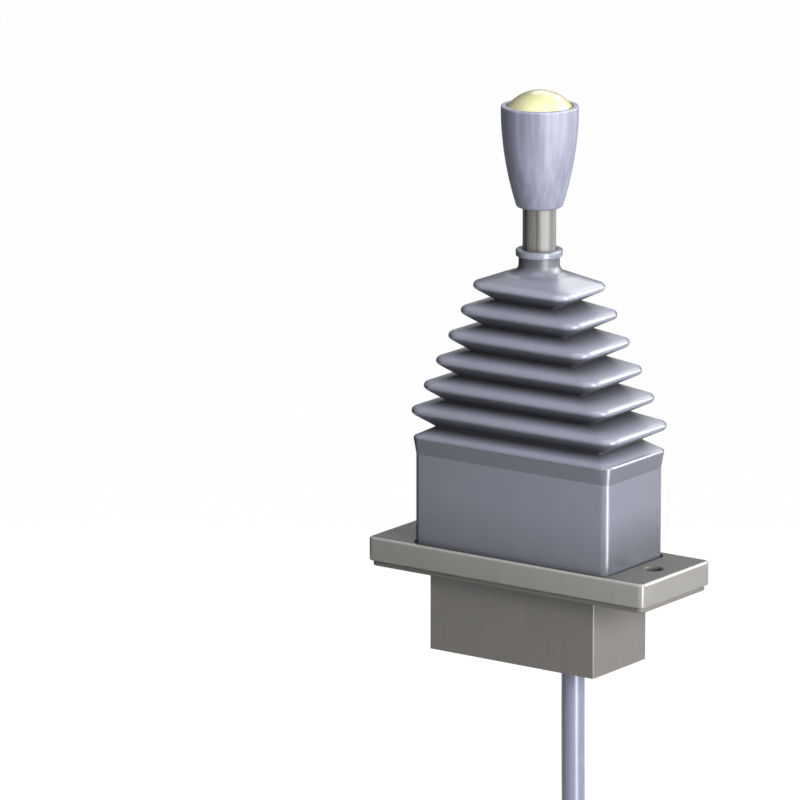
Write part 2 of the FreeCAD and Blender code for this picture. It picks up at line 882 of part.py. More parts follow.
def make_handle_grip():
    """Waisted knob turned about the lever, hollow for the button and its switch."""
    foot = grip_foot_diameter / 2
    top = grip_diameter / 2
    shoulder = (top, grip_shoulder_height)
    edges = [line((0, grip_bottom), (foot, grip_bottom)),
             arc((foot, grip_bottom), (grip_middle_diameter / 2, grip_middle_height), shoulder),
             line(shoulder, (top, grip_top)),
             line((top, grip_top), (0, grip_top)),
             line((0, grip_top), (0, grip_bottom))]
    shape = revolve(edges)
    shape = shape.makeFillet(grip_round, ring_edges(shape, grip_bottom))
    shape = shape.makeFillet(grip_lip_round, ring_edges(shape, grip_top))
    mouth = cap_radius + cap_gap
    pocket_bottom = switch_bottom - terminal_drop
    cuts = [cylinder(mouth, carrier_bottom, grip_top + 1),
            cylinder(mouth - carrier_ledge, carrier_bottom - clip_room, carrier_bottom),
            cylinder(switch_diameter / 2 + slip_gap, pocket_bottom, carrier_bottom),
            cylinder(shaft_bore / 2 + wire_room, shaft_top, pocket_bottom),
            cylinder(shaft_radius + seat_gap, grip_bottom - 1, shaft_top),
            cylinder(insert_diameter / 2 + seat_gap, shaft_top - insert_length, shaft_top)]
    for cut in cuts:
        shape = shape.cut(cut)
    return shape


def make_grip_insert():
    ring = cylinder(insert_diameter / 2, shaft_top - insert_length, shaft_top)
    return ring.cut(cylinder(shaft_radius + seat_gap, grip_bottom, shaft_top + 1))


# Push button and its switch

def dome(radius, edge, top):
    """Round plug under a spherical cap that rises from its edge to the top."""
    rise = top - edge
    sphere = (radius * radius + rise * rise) / (2 * rise)
    ball = Part.makeSphere(sphere, Vector(0, 0, top - sphere))
    return cylinder(radius, cap_bottom, top).common(ball)


def make_push_button_cap():
    hollow = dome(cap_radius - cap_wall, cap_edge - cap_wall / 2, cap_top - cap_wall)
    shell = dome(cap_radius, cap_edge, cap_top).cut(hollow)
    stem = cylinder(cap_stem_diameter / 2, plunger_top, cap_top - cap_wall / 2)
    seat_base = carrier_top + return_height
    outer = return_diameter / 2 + return_wire
    inner = return_diameter / 2 - return_wire
    seat = cylinder(outer, seat_base, cap_top).cut(cylinder(inner, seat_base - 1, cap_top + 1))
    inside = dome(cap_radius - cap_wall / 2, cap_edge - cap_wall / 4, cap_top - cap_wall / 2)
    shape = shell.fuse([stem, seat.common(inside)])
    hook_top = carrier_bottom - travel_gap
    clip_bottom = hook_top - clip_hook_height
    for place in range(clip_count):
        clip = sector(clip_inner, clip_outer + clip_root_wall, clip_bottom,
                      cap_bottom + clip_root)
        clip = clip.cut(sector(clip_outer, clip_outer + 1, clip_bottom - 1, cap_bottom,
                               clip_window_angle))
        hook = sector(clip_inner, clip_outer + clip_hook, clip_bottom, hook_top)
        clip = clip.fuse(hook)
        clip.rotate(Vector(0, 0, 0), Vector(0, 0, 1), place * 360 / clip_count)
        shape = shape.fuse(clip)
    return shape.removeSplitter()


def sector(inner, outer, bottom, top, extra_angle=0.0):
    """Piece of a ring, centred on X."""
    angle = clip_angle + 2 * extra_angle
    whole = Part.makeCylinder(outer, top - bottom, Vector(0, 0, bottom), Vector(0, 0, 1), angle)
    shape = whole.cut(cylinder(inner, bottom - 1, top + 1))
    shape.rotate(Vector(0, 0, 0), Vector(0, 0, 1), -angle / 2)
    return shape


def make_switch_carrier():
    """Disc on the grip's ledge, with a window for each of the cap's clips."""
    shape = cylinder(cap_radius + cap_gap - slip_gap, carrier_bottom, carrier_top)
    shape = shape.cut(cylinder(plunger_diameter / 2 + slip_gap, carrier_bottom - 1,
                               carrier_top + 1))
    for place in range(clip_count):
        window = sector(clip_inner - slip_gap, clip_outer + 2 * slip_gap,
                        carrier_bottom - 1, carrier_top + 1, clip_window_angle)
        window.rotate(Vector(0, 0, 0), Vector(0, 0, 1), place * 360 / clip_count)
        shape = shape.cut(window)
    return shape


def make_switch_body():
    shape = cylinder(switch_diameter / 2, switch_bottom, switch_top)
    shape = shape.cut(cylinder(switch_diameter / 2 - switch_wall, switch_bottom + switch_wall,
                               switch_top - switch_wall))
    shape = shape.cut(cylinder(plunger_diameter / 2 + slip_gap, switch_top - switch_wall - 1,
                               switch_top + 1))
    for side in (1, -1):
        shape = shape.cut(terminal(side, seat_gap))
    return shape


def terminal(side, extra=0.0):
    """Upright contact blade; extra widens it into its slot."""
    x = side * lead_spacing / 2
    half_x = terminal_thickness / 2 + extra
    half_y = terminal_width / 2 + extra
    return box(x - half_x, x + half_x, -half_y, half_y,
               terminal_end, contact_top)


def make_switch_terminals():
    return [terminal(side) for side in (1, -1)]


def make_switch_plunger():
    shape = cylinder(plunger_diameter / 2, bridge_top, plunger_top)
    return shape.fuse(cylinder(bridge_diameter / 2 - plunger_collar, bridge_top,
                               bridge_top + plunger_collar))


def make_contact_bridge():
    return cylinder(bridge_diameter / 2, bridge_top - bridge_thickness, bridge_top)


def make_button_spring():
    pitch = (return_height - return_wire - 2 * slip_gap) / return_turns
    return coil(return_diameter, return_wire, pitch, return_turns,
                carrier_top + return_wire / 2 + slip_gap)


# Switch leads, with slack beside the hub

def lead_route(side):
    """Down the shaft's bore, out of its slot and past the hub, with slack to swing."""
    x = side * lead_spacing / 2
    y = side * lead_pair
    slack = [(loop_x, y + loop_y, loop_z) for loop_x, loop_y, loop_z in lead_loop]
    return [(x, 0, terminal_end), (x, 0, lead_bend_height), (x, y + lead_turn_y, lead_turn_z),
            *slack, (plug_x, y + plug_y, board_height + plug_height + soft_gap)]


def make_switch_leads():
    return [tube(lead_route(side), lead_diameter)[0] for side in (1, -1)]


def make_lead_plug():
    shape = block(plug_length / 2, plug_width / 2, moulded_corner, board_height,
                  board_height + plug_height)
    shape.translate(Vector(plug_x, plug_y, 0))
    return shape


# Lower housing

def make_lower_housing():
    shape = block(housing_length / 2, housing_width / 2, housing_corner,
                  housing_bottom, flange_bottom)
    floor = housing_bottom + housing_floor
    hollow = block(housing_length / 2 - housing_wall, housing_width / 2 - housing_wall,
                   housing_inner_corner, floor, flange_bottom + 1)
    shape = shape.cut(hollow)
    limit = block(housing_length / 2 - housing_wall / 2, housing_width / 2 - housing_wall / 2,
                  housing_inner_corner, floor - 1, flange_bottom)
    for x, y in four_corners(column_x, column_y):
        shape = shape.fuse(cylinder(column_diameter / 2, floor - 1, flange_bottom, x, y)
                           .common(limit))
    for x, y in four_corners(standoff_x, standoff_y):
        shape = shape.fuse(cylinder(standoff_diameter / 2, floor - 1,
                                    board_height - board_thickness, x, y))
    for x, y in four_corners(column_x, column_y):
        shape = shape.cut(cylinder(screw_diameter / 2 + screw_clearance, housing_bottom - 1,
                                   flange_bottom + 1, x, y))
        shape = shape.cut(cylinder(screw_head / 2 + screw_clearance, housing_bottom - 1,
                                   housing_bottom + screw_diameter, x, y))
    for x, y in four_corners(standoff_x, standoff_y):
        shape = shape.cut(cylinder(board_screw_diameter / 2 + seat_gap,
                                   board_height - board_thickness - board_screw_reach
                                   - screw_end_gap,
                                   board_height, x, y))
    return shape.cut(cylinder(grommet_hole / 2, housing_bottom - 1, floor + 1, cable_x))


# Circuit board

def make_circuit_board():
    shape = block(board_length / 2, board_width / 2, board_corner,
                  board_height - board_thickness, board_height)
    for x, y in four_corners(standoff_x, standoff_y):
        shape = shape.cut(cylinder(board_screw_diameter / 2 + screw_clearance,
                                   board_height - 2 * board_thickness, board_height + 1, x, y))
    return shape


def make_hall_sensors():
    chips = []
    for side in (1, -1):
        x = side * chip_spacing / 2
        chip = box(x - chip_length / 2, x + chip_length / 2, -chip_width / 2, chip_width / 2,
                   board_height, board_height + chip_thickness)
        chips.append(chip.makeChamfer(chip_chamfer,
                                      ring_edges(chip, board_height + chip_thickness)))
    return chips


def make_board_header():
    top = board_height - board_thickness
    shape = block(header_length / 2, header_width / 2, moulded_corner, top - header_height, top)
    shape.translate(Vector(cable_x, 0, 0))
    return shape


# Cable inlet

def make_cable_grommet():
    floor = housing_bottom + housing_floor
    low = housing_bottom - grommet_flange_thickness
    body = cylinder(grommet_hole / 2 - slip_gap, housing_bottom, floor, cable_x)
    below = cylinder(grommet_flange / 2, low, housing_bottom, cable_x)
    above = cylinder(grommet_flange / 2, floor, floor + grommet_flange_thickness, cable_x)
    tail = cone(grommet_tail_diameter / 2, grommet_hole / 2, low - grommet_tail, low, cable_x)
    shape = body.fuse([below, above, tail])
    return shape.cut(cylinder(cable_diameter / 2 + slip_gap, low - grommet_tail - 1,
                              floor + 5, cable_x))


def make_cable_retainer():
    """Ring crimped on the jacket inside the housing, so the cable can't pull out."""
    bottom = housing_bottom + housing_floor + grommet_flange_thickness
    shape = cylinder(retainer_diameter / 2, bottom, bottom + retainer_height, cable_x)
    return shape.cut(cylinder(cable_diameter / 2 + seat_gap, bottom - 1,
                              bottom + retainer_height + 1, cable_x))


def make_inner_cores():
    top = board_height - board_thickness - header_height
    cores = []
    for place in range(core_count):
        angle = 2 * math.pi * place / core_count
        cores.append(cylinder(core_diameter / 2, cable_top, top,
                              cable_x + core_circle / 2 * math.cos(angle),
                              core_circle / 2 * math.sin(angle)))
    return cores


def make_cable():
    shape, radii = tube(cable_route, cable_diameter)
    length = 0.0
    for a, b in zip(cable_route, cable_route[1:]):
        length += (Vector(*b) - Vector(*a)).Length
    volume = math.pi * cable_diameter ** 2 / 4 * length
    print("cable radii", [round(radius) for radius in radii],
          "volume over section times length", round(shape.Volume / volume, 4))
    return shape


# Connector, built hanging from the origin and then put on the end of the cable

def hang(shape):
    """Turn a piece that hangs along -Z from the origin onto the cable's end."""
    end = Vector(*cable_route[-1])
    along = end - Vector(*cable_route[-2])
    turn = FreeCAD.Rotation(Vector(0, 0, -1), along)
    shape.Placement = FreeCAD.Placement(end, turn).multiply(shape.Placement)
    return shape


def contact_places():
    """Two rows of three contacts."""
    return [(column * contact_spacing, row * contact_row_gap / 2)
            for row in (1, -1) for column in (-1, 0, 1)]


def make_conductor_wires():
    wires = []
    for x, y in contact_places():
        angle = math.atan2(y, x)
        start_x = core_circle / 2 * math.cos(angle)
        start_y = core_circle / 2 * math.sin(angle)
        route = [(start_x, start_y, -2 * slip_gap), (start_x, start_y, -0.2 * fan_length),
                 (x, y, -0.72 * fan_length), (x, y, 2 * slip_gap - fan_length)]
        wires.append(hang(tube(route, core_diameter)[0]))
    return wires


def make_connector_seal():
    top = -fan_length
    shape = block(seal_width / 2, seal_thickness / 2, seal_corner, top - seal_length, top)
    for step in (0.25, 0.6):
        height = top - seal_length * step
        ring = block(seal_width / 2 + seal_rib, seal_thickness / 2 + seal_rib,
                     seal_corner + seal_rib, height - seal_rib, height + seal_rib)
        shape = shape.fuse(ring)
    return hang(shape.removeSplitter())


def body_top():
    return -fan_length - seal_length


def nose_end():
    return body_top() - body_length - nose_length


def make_connector_body():
    """Housing with a shoulder, a narrower nose, two keys and a socket for each contact."""
    top = body_top()
    low = top - body_length
    shape = block(body_width / 2, body_thickness / 2, body_corner, low, top)
    shape = shape.makeFillet(body_round, ring_edges(shape, top))
    ring = block(body_width / 2 + shoulder_margin, body_thickness / 2 + shoulder_margin,
                 body_corner + shoulder_margin, low, low + shoulder_length)
    nose = block(nose_width / 2, nose_thickness / 2, nose_corner, nose_end(), low)
    shape = shape.fuse([ring, nose])
    for side in (1, -1):
        x = side * nose_width * key_place
        shape = shape.fuse(box(x - key_width / 2, x + key_width / 2,
                               -nose_thickness / 2 - key_height, 0,
                               nose_end() + key_setback, low))
    latch_foot = top - latch_setback
    pad = box(-latch_width / 2, latch_width / 2, body_thickness / 2 - join_overlap,
              body_thickness / 2 + latch_lift, latch_foot - latch_pad, latch_foot)
    shape = shape.fuse(pad)
    wedge_room = block(nose_width / 2 - wedge_margin, nose_thickness / 2 - wedge_margin,
                       wedge_corner, nose_end() - 1, nose_end() + wedge_thickness)
    shape = shape.cut(wedge_room)
    for x, y in contact_places():
        shape = shape.cut(cylinder(contact_diameter / 2 + slip_gap, nose_end() - 1,
                                   low, x, y))
    return hang(shape.removeSplitter())


def make_connector_latch():
    """Springy lever over the body's wide side, with a step near its free end."""
    foot = body_top() - latch_setback
    base = body_thickness / 2 + latch_lift
    shape = box(-latch_width / 2, latch_width / 2, base, base + latch_thickness,
                foot - latch_length, foot)
    high = base + latch_thickness
    shape = shape.makeFillet(latch_round, [edge for edge in shape.Edges
                                           if abs(edge.BoundBox.YMin - high) < 1e-4])
    half = latch_width / 2 - latch_step_inset
    step_top = foot - latch_step_height
    step = box(-half, half, base, high + latch_step_height,
               step_top - latch_step_length, step_top)
    return hang(shape.fuse(step))


def make_connector_wedge():
    """Coloured lock plate in the nose's mouth."""
    margin = wedge_margin + slip_gap
    shape = block(nose_width / 2 - margin, nose_thickness / 2 - margin, wedge_corner - slip_gap,
                  nose_end(), nose_end() + wedge_thickness)
    for x, y in contact_places():
        shape = shape.cut(cylinder(contact_diameter / 2 + slip_gap, nose_end() - 1, 0, x, y))
    return hang(shape)


def make_connector_contacts():
    low = body_top() - body_length
    return [hang(cylinder(contact_diameter / 2, nose_end() + contact_setback, low, x, y))
            for x, y in contact_places()]


def nodes():
    """Each sub-part's name and its solid or solids."""
    return {
        "mounting_flange": make_mounting_flange(),
        "flange_gasket": make_flange_gasket(),
        "support_frame": make_support_frame(),
        "frame_screws": make_frame_screws(),
        "stop_bumpers": make_stop_bumpers(),
        "bearing_bush_left": make_bearing_bush(1),
        "bearing_bush_right": make_bearing_bush(-1),
        "spring_anchor": make_spring_anchor(),
        "bellows_boot": make_bellows_boot(),
        "lower_housing": make_lower_housing(),
        "housing_screws": make_housing_screws(),
        "circuit_board": make_circuit_board(),
        "board_screws": make_board_screws(),
        "hall_sensors": make_hall_sensors(),
        "lead_plug": make_lead_plug(),
        "board_header": make_board_header(),
        "inner_cores": make_inner_cores(),
        "cable_grommet": make_cable_grommet(),
        "cable_retainer": make_cable_retainer(),
        "cable": make_cable(),
        "conductor_wires": make_conductor_wires(),
        "connector_seal": make_connector_seal(),
        "connector_body": make_connector_body(),
        "connector_latch": make_connector_latch(),
        "connector_wedge": make_connector_wedge(),
        "connector_contacts": make_connector_contacts(),
        "lever_hub": make_lever_hub(),
        "pivot_shaft": make_pivot_shaft(),
        "pivot_pin": make_pivot_pin(),
        "thrust_washers": make_thrust_washers(),
        "centring_spring": make_centring_spring(),
        "magnet_holder": make_magnet_holder(),
        "magnet": make_magnet(),
        "lever_shaft": make_lever_shaft(),
        "shaft_pin": make_shaft_pin(),
        "handle_grip": make_handle_grip(),
        "grip_insert": make_grip_insert(),
        "switch_carrier": make_switch_carrier(),
        "switch_body": make_switch_body(),
        "switch_terminals": make_switch_terminals(),
        "switch_leads": make_switch_leads(),
        "push_button_cap": make_push_button_cap(),
        "switch_plunger": make_switch_plunger(),
        "contact_bridge": make_contact_bridge(),
        "button_spring": make_button_spring(),
    }


os.makedirs("parts", exist_ok=True)
for name, shape in nodes().items():
    if isinstance(shape, list):
        shape = Part.makeCompound(shape)
    print(name, len(shape.Solids), round(shape.Volume / 1000, 3), shape.isValid())
    shape.exportStep("parts/" + name + ".step")
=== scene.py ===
from math import cos, pi, radians, sin

import bmesh
import bpy
from mathutils import Matrix, Vector
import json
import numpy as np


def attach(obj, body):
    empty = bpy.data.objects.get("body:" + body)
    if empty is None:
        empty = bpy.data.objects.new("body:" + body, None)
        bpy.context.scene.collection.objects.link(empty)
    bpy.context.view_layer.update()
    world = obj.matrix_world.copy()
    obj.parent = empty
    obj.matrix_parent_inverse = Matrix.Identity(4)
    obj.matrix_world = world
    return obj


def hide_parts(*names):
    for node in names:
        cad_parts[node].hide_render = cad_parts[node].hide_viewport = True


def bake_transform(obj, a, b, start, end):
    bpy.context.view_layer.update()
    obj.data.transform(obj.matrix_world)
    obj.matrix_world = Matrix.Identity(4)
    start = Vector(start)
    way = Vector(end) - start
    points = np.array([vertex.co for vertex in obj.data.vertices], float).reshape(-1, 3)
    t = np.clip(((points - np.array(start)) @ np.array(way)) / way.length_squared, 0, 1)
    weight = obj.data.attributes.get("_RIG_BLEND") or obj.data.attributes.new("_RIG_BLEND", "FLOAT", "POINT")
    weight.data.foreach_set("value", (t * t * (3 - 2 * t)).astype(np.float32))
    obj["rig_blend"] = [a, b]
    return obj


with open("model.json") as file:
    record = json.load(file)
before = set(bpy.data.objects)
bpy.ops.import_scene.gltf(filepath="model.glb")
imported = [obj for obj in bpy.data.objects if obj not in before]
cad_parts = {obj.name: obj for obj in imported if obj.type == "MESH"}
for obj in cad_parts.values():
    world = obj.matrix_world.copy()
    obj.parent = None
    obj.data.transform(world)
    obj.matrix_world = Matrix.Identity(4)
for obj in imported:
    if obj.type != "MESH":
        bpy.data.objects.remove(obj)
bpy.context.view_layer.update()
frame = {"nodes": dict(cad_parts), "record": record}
nodes = frame["nodes"]
scene = bpy.context.scene
millimetre = 0.001


# The camera, at the photograph's viewing angle

cameraView = {
    "position": (1.4687, -2.1368, 0.6841),
    "right": (0.8131, 0.5821, 0.0),
    "up": (-0.1351, 0.1887, 0.9727),
    "back": (0.5662, -0.7909, 0.2321),
    "lens": 335.0,
    "sensor": 36.0,
    "reach": 20.0,
}


def addCamera(view):
    data = bpy.data.cameras.new("camera")
    data.lens = view["lens"]
    data.sensor_width = view["sensor"]
    data.clip_end = view["reach"]
    camera = bpy.data.objects.new("camera", data)
    scene.collection.objects.link(camera)
    turn = Matrix((view["right"], view["up"], view["back"])).transposed()
    camera.matrix_world = Matrix.Translation(view["position"]) @ turn.to_4x4()
    scene.camera = camera


addCamera(cameraView)
print("camera is in place")


# The cord, a straight lead that hangs under its connector's weight

cordLead = {
    # control points in millimetres, from inside the housing down to the jacket's end
    "route": [(15.6, 0, -21), (15.6, 0, -82), (17.4, 0.6, -143), (21.4, 1.7, -208)],
    "diameter": 8.4,
    "exit": (15.6, 0, -29),
    "cutsAlong": 16,
    "cutsRound": 8,
}


def addCord(lead):
    curve = bpy.data.curves.new("mainLead", "CURVE")
    curve.dimensions = "3D"
    spline = curve.splines.new("NURBS")
    spline.points.add(len(lead["route"]) - 1)
    for point, place in zip(spline.points, lead["route"]):
        point.co = (*(Vector(place) * millimetre), 1.0)
        point.radius = lead["diameter"] * millimetre / 2
    spline.order_u = 3
    spline.use_endpoint_u = True
    curve.resolution_u = lead["cutsAlong"]
    curve.bevel_depth = 1.0      # times each point's radius
    curve.bevel_resolution = lead["cutsRound"]
    curve.use_fill_caps = True
    cord = bpy.data.objects.new("mainLead", curve)
    scene.collection.objects.link(cord)
    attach(cord, "base")
    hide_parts("cable")
    return cord


mainLead = addCord(cordLead)
print("cord is in place")


# Shader maths written as expressions

class Link:
    def __init__(self, tree, socket):
        self.tree = tree
        self.socket = socket

    def __add__(self, other):
        return self.tree.maths("ADD", self, other)

    def __sub__(self, other):
        return self.tree.maths("SUBTRACT", self, other)

    def __rsub__(self, other):
        return self.tree.maths("SUBTRACT", other, self)

    def __mul__(self, other):
        return self.tree.maths("MULTIPLY", self, other)

    __radd__ = __add__
    __rmul__ = __mul__


class NodeTree:
    def __init__(self, tree):
        self.tree = tree
        self.tree.nodes.clear()

    def node(self, kind, settings=(), inputs=(), output=0):
        made = self.tree.nodes.new(kind)
        for key, value in dict(settings).items():
            setattr(made, key, value)
        for key, value in dict(inputs).items():
            if isinstance(value, Link):
                self.tree.links.new(value.socket, made.inputs[key])
            else:
                made.inputs[key].default_value = value
        return None if output is None else Link(self, made.outputs[output])

    def maths(self, operation, a, b):
        return self.node("ShaderNodeMath", {"operation": operation}, {0: a, 1: b})

    def seenRays(self):      # 1 where the camera, a mirror or glass looks, 0 for plain light
        camera, glossy, clear = [self.node("ShaderNodeLightPath", output=name) for name in (
            "Is Camera Ray", "Is Glossy Ray", "Is Transmission Ray")]
        return self.maths("MAXIMUM", self.maths("MAXIMUM", camera, glossy), clear)


class Finish(NodeTree):
    def __init__(self, name):
        self.material = bpy.data.materials.new(name)
        self.material.use_nodes = True
        super().__init__(self.material.node_tree)
        self.place = self.node("ShaderNodeTexCoord", output="Object")

    def stretched(self, scale):
        return self.node("ShaderNodeMapping", {}, {"Vector": self.place, "Scale": scale})

    def noise(self, scale, detail=3.0, place=None):
        return self.node("ShaderNodeTexNoise", {},
                         {"Vector": place or self.place, "Scale": scale, "Detail": detail})

    def mix(self, factor, a, b):      # 6, 7 and output 2 are the node's colour sockets
        return self.node("ShaderNodeMix", {"data_type": "RGBA"}, {0: factor, 6: a, 7: b}, 2)

    def shaded(self, colour, tone):
        return self.node("ShaderNodeMix", {"data_type": "RGBA", "blend_type": "MULTIPLY"},
                         {0: 1.0, 6: colour, 7: tone}, 2)

    def step(self, value, low, high):
        return self.node("ShaderNodeMapRange", {"interpolation_type": "SMOOTHSTEP"},
                         {"Value": value, "From Min": low, "From Max": high})

    def height(self):
        return self.node("ShaderNodeSeparateXYZ", {}, {"Vector": self.place}, "Z")

    def attribute(self, name):
        return self.node("ShaderNodeAttribute", {"attribute_name": name}, (), "Fac")

    def grain(self, scale, depth):
        return self.node("ShaderNodeBump", {}, {
            "Height": self.noise(scale, fineDetail), "Strength": grainStrength,
            "Distance": depth * micrometre})

    def surface(self, **sockets):
        names = {key.replace("_", " "): value for key, value in sockets.items()}
        shader = self.node("ShaderNodeBsdfPrincipled", {}, names)
        self.node("ShaderNodeOutputMaterial", {}, {"Surface": shader}, None)
        return self.material


# Finishes, one for each material slot of the record

finishLooks = {
    # slot: colour, roughness, metallic, grain size per metre, grain depth in micrometres
    "flange_metal": ((0.250, 0.242, 0.229), 0.24, 0.0, 900, 3),
    "housing_metal": ((0.155, 0.146, 0.135), 0.36, 0.0, 900, 4),
    "gasket_rubber": ((0.150, 0.142, 0.128), 0.60, 0.0, 1400, 12),
    "frame_plastic": ((0.016, 0.016, 0.018), 0.50, 0.0, 1200, 10),
    "screw_steel": ((0.560, 0.550, 0.530), 0.28, 1.0, 2200, 4),
    "bumper_rubber": ((0.012, 0.012, 0.012), 0.70, 0.0, 1500, 15),
    "bush_bronze": ((0.560, 0.330, 0.130), 0.38, 1.0, 3000, 6),
    "plated_steel": ((0.580, 0.570, 0.540), 0.30, 1.0, 2000, 4),
    "boot_rubber": ((0.196, 0.206, 0.256), 0.28, 0.0, 1300, 3),
    "board_laminate": ((0.012, 0.110, 0.042), 0.32, 0.0, 700, 5),
    "chip_plastic": ((0.012, 0.012, 0.014), 0.48, 0.0, 2500, 6),
    "plug_plastic": ((0.700, 0.680, 0.560), 0.35, 0.0, 1200, 5),
    "core_insulation": ((0.330, 0.030, 0.018), 0.32, 0.0, 1200, 5),
    "grommet_rubber": ((0.030, 0.030, 0.034), 0.55, 0.0, 1500, 12),
    "cable_jacket": ((0.225, 0.237, 0.332), 0.30, 0.0, 1400, 9),
    "seal_rubber": ((0.480, 0.062, 0.012), 0.42, 0.0, 1500, 8),
    "connector_plastic": ((0.215, 0.262, 0.245), 0.42, 0.0, 1400, 8),
    "wedge_plastic": ((0.560, 0.095, 0.012), 0.40, 0.0, 1400, 6),
    "contact_brass": ((0.640, 0.420, 0.120), 0.24, 1.0, 2600, 3),
    "hub_steel": ((0.420, 0.420, 0.410), 0.34, 1.0, 1600, 6),
    "shaft_steel": ((0.130, 0.128, 0.124), 0.60, 1.0, 1800, 4),
    "washer_plastic": ((0.780, 0.780, 0.740), 0.40, 0.0, 1500, 5),
    "spring_steel": ((0.330, 0.330, 0.335), 0.30, 1.0, 2400, 4),
    "holder_plastic": ((0.014, 0.014, 0.016), 0.45, 0.0, 1600, 8),
    "magnet_metal": ((0.640, 0.640, 0.650), 0.18, 1.0, 2000, 2),
    "grip_plastic": ((0.202, 0.210, 0.281), 0.55, 0.0, 800, 3),
    "button_plastic": ((0.860, 0.840, 0.460), 0.28, 0.0, 700, 3),
}
colourDrift = 0.05      # how far a colour wanders over a piece
roughnessDrift = 0.10
driftScale = 38.0       # patches of a few centimetres
fineDetail = 2.0
grainStrength = 0.6
micrometre = 1e-6


def tints(colour):
    dark = tuple(c * (1 - colourDrift) for c in colour) + (1.0,)
    light = tuple(min(1.0, c * (1 + colourDrift)) for c in colour) + (1.0,)
    return dark, light


def plainFinish(slot):
    colour, roughness, metallic, grain, depth = finishLooks[slot]
    finish = Finish(slot)
    drift = finish.noise(driftScale) - 0.5
    return finish.surface(
        Base_Color=finish.mix(finish.noise(driftScale * 2), *tints(colour)),
        Roughness=drift * roughnessDrift + roughness,
        Metallic=metallic,
        Normal=finish.grain(grain, depth))


# Finishes that are seen up close: speckled, streaked or brushed along the height

closeLooks = {
    # slot: speckle spread and scale, streak spread and its scale across and along the height
    "boot_rubber": (0.035, 1300, 0.015, 300, 60),
    "flange_metal": (0.06, 1500, 0.02, 500, 80),
    "housing_metal": (0.05, 1400, 0.05, 700, 40),
    "gasket_rubber": (0.08, 1500, 0.03, 500, 80),
    "cable_jacket": (0.05, 1300, 0.08, 900, 30),
    # the shaft's strong streaks are brushed grain and also painted reflection bands along its height
    "shaft_steel": (0.05, 1600, 0.75, 620, 5),
    "grip_plastic": (0.02, 1000, 0.27, 480, 10),
    "button_plastic": (0.02, 900, 0.02, 300, 60),
}
noiseReach = 4          # a noise keeps to about a quarter of its range on either side
dulledSlots = {
    # slot: how much rougher it is where dust lies
    "boot_rubber": 0.30, "flange_metal": 0.30, "gasket_rubber": 0.20,
}
heightPaintedLight = {
    # slot: heights in millimetres between which the colour turns to the tone, painted light
    "grip_plastic": [(126.0, 156.0, 1.22), (172.2, 172.7, 1.5)],      # painted light on the upper grip, painted highlight on the rim
}


def closeFinish(slot):
    colour, roughness, metallic, grain, depth = finishLooks[slot]
    speckle, speckleScale, streak, across, along = closeLooks[slot]
    finish = Finish(slot)
    streaks = finish.noise(1.0, place=finish.stretched((across, across, along))) - 0.5
    speckles = finish.noise(speckleScale, fineDetail) - 0.5
    tone = speckles * (noiseReach * speckle) + streaks * (noiseReach * streak) + 1.0
    rough = streaks * roughnessDrift + roughness
    if slot in dulledSlots:      # the pieces' tone, mostly painted light and shade, and their dullness
        rough = finish.attribute("dull") * dulledSlots[slot] + roughness
        tone = tone * finish.attribute("tone")
    # painted light and painted highlight by height
    for low, high, share in heightPaintedLight.get(slot, ()):
        above = finish.step(finish.height(), low * millimetre, high * millimetre)
        tone = tone * (above * (share - 1) + 1.0)
    return finish.surface(
        Base_Color=finish.shaded(finish.mix(finish.noise(driftScale * 2), *tints(colour)), tone),
        Roughness=rough,
        Metallic=metallic,
        Normal=finish.grain(grain, depth))


materials = {slot: closeFinish(slot) if slot in closeLooks else plainFinish(slot)
             for slot in finishLooks}
slotOf = {part["node"]: part["material_slot"] for part in frame["record"]["subparts"]}
for name, piece in nodes.items():
    piece.data.materials.clear()
    piece.data.materials.append(materials[slotOf[name]])
mainLead.data.materials.append(materials["cable_jacket"])
print("finishes are made")


# Making of new pieces

mergeDistance = 1e-6


def newPiece(name, mesh, slot, body=None, stands=(), sharp=35.0, size=1.0):
    bmesh.ops.scale(mesh, verts=mesh.verts, vec=(size,) * 3)
    bmesh.ops.recalc_face_normals(mesh, faces=mesh.faces)
    for face in mesh.faces:
        face.smooth = True
    for edge in mesh.edges:      # an edge that turns by more than this angle stays hard
        edge.smooth = edge.calc_face_angle(0.0) < radians(sharp)
    data = bpy.data.meshes.new(name)
    mesh.to_mesh(data)
    mesh.free()
    data.materials.append(materials[slot])
    piece = bpy.data.objects.new(name, data)
    scene.collection.objects.link(piece)
    if body:
        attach(piece, body)
    if stands:
        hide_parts(*stands)
    return piece


def mergedCopy(node):
    mesh = bmesh.new()
    mesh.from_mesh(nodes[node].data)
    bmesh.ops.remove_doubles(mesh, verts=mesh.verts, dist=mergeDistance)
    return mesh


def tonedMesh():
    mesh = bmesh.new()
    for name in ("tone", "dull"):
        mesh.verts.layers.float.new(name)
    return mesh


# a section lists half sizes along X and Y, corner radius, height, tone and dullness
def rectangleRing(mesh, halfX, halfY, corner, z, tone=1.0, dull=0.0, cuts=12):
    tones, dulls = [mesh.verts.layers.float[name] for name in ("tone", "dull")]
    ring = bmesh.ops.create_circle(mesh, segments=4 * cuts, radius=corner)["verts"]
    for v in ring:
        v[tones], v[dulls] = tone, dull
    # half a step round, so that no point lies on an axis
    bmesh.ops.rotate(mesh, verts=ring, matrix=Matrix.Rotation(pi / (4 * cuts), 3, "Z"))
    for sideX in (1, -1):
        for sideY in (1, -1):
            quarter = [v for v in ring if v.co.x * sideX > 0 and v.co.y * sideY > 0]
            shift = (sideX * (halfX - corner), sideY * (halfY - corner), z)
            bmesh.ops.translate(mesh, verts=quarter, vec=shift)
    return ring


def ringEdges(ring):      # each edge once
    members = set(ring)
    return [e for v in ring for e in v.link_edges
            if e.other_vert(v) in members and e.verts[0] == v]


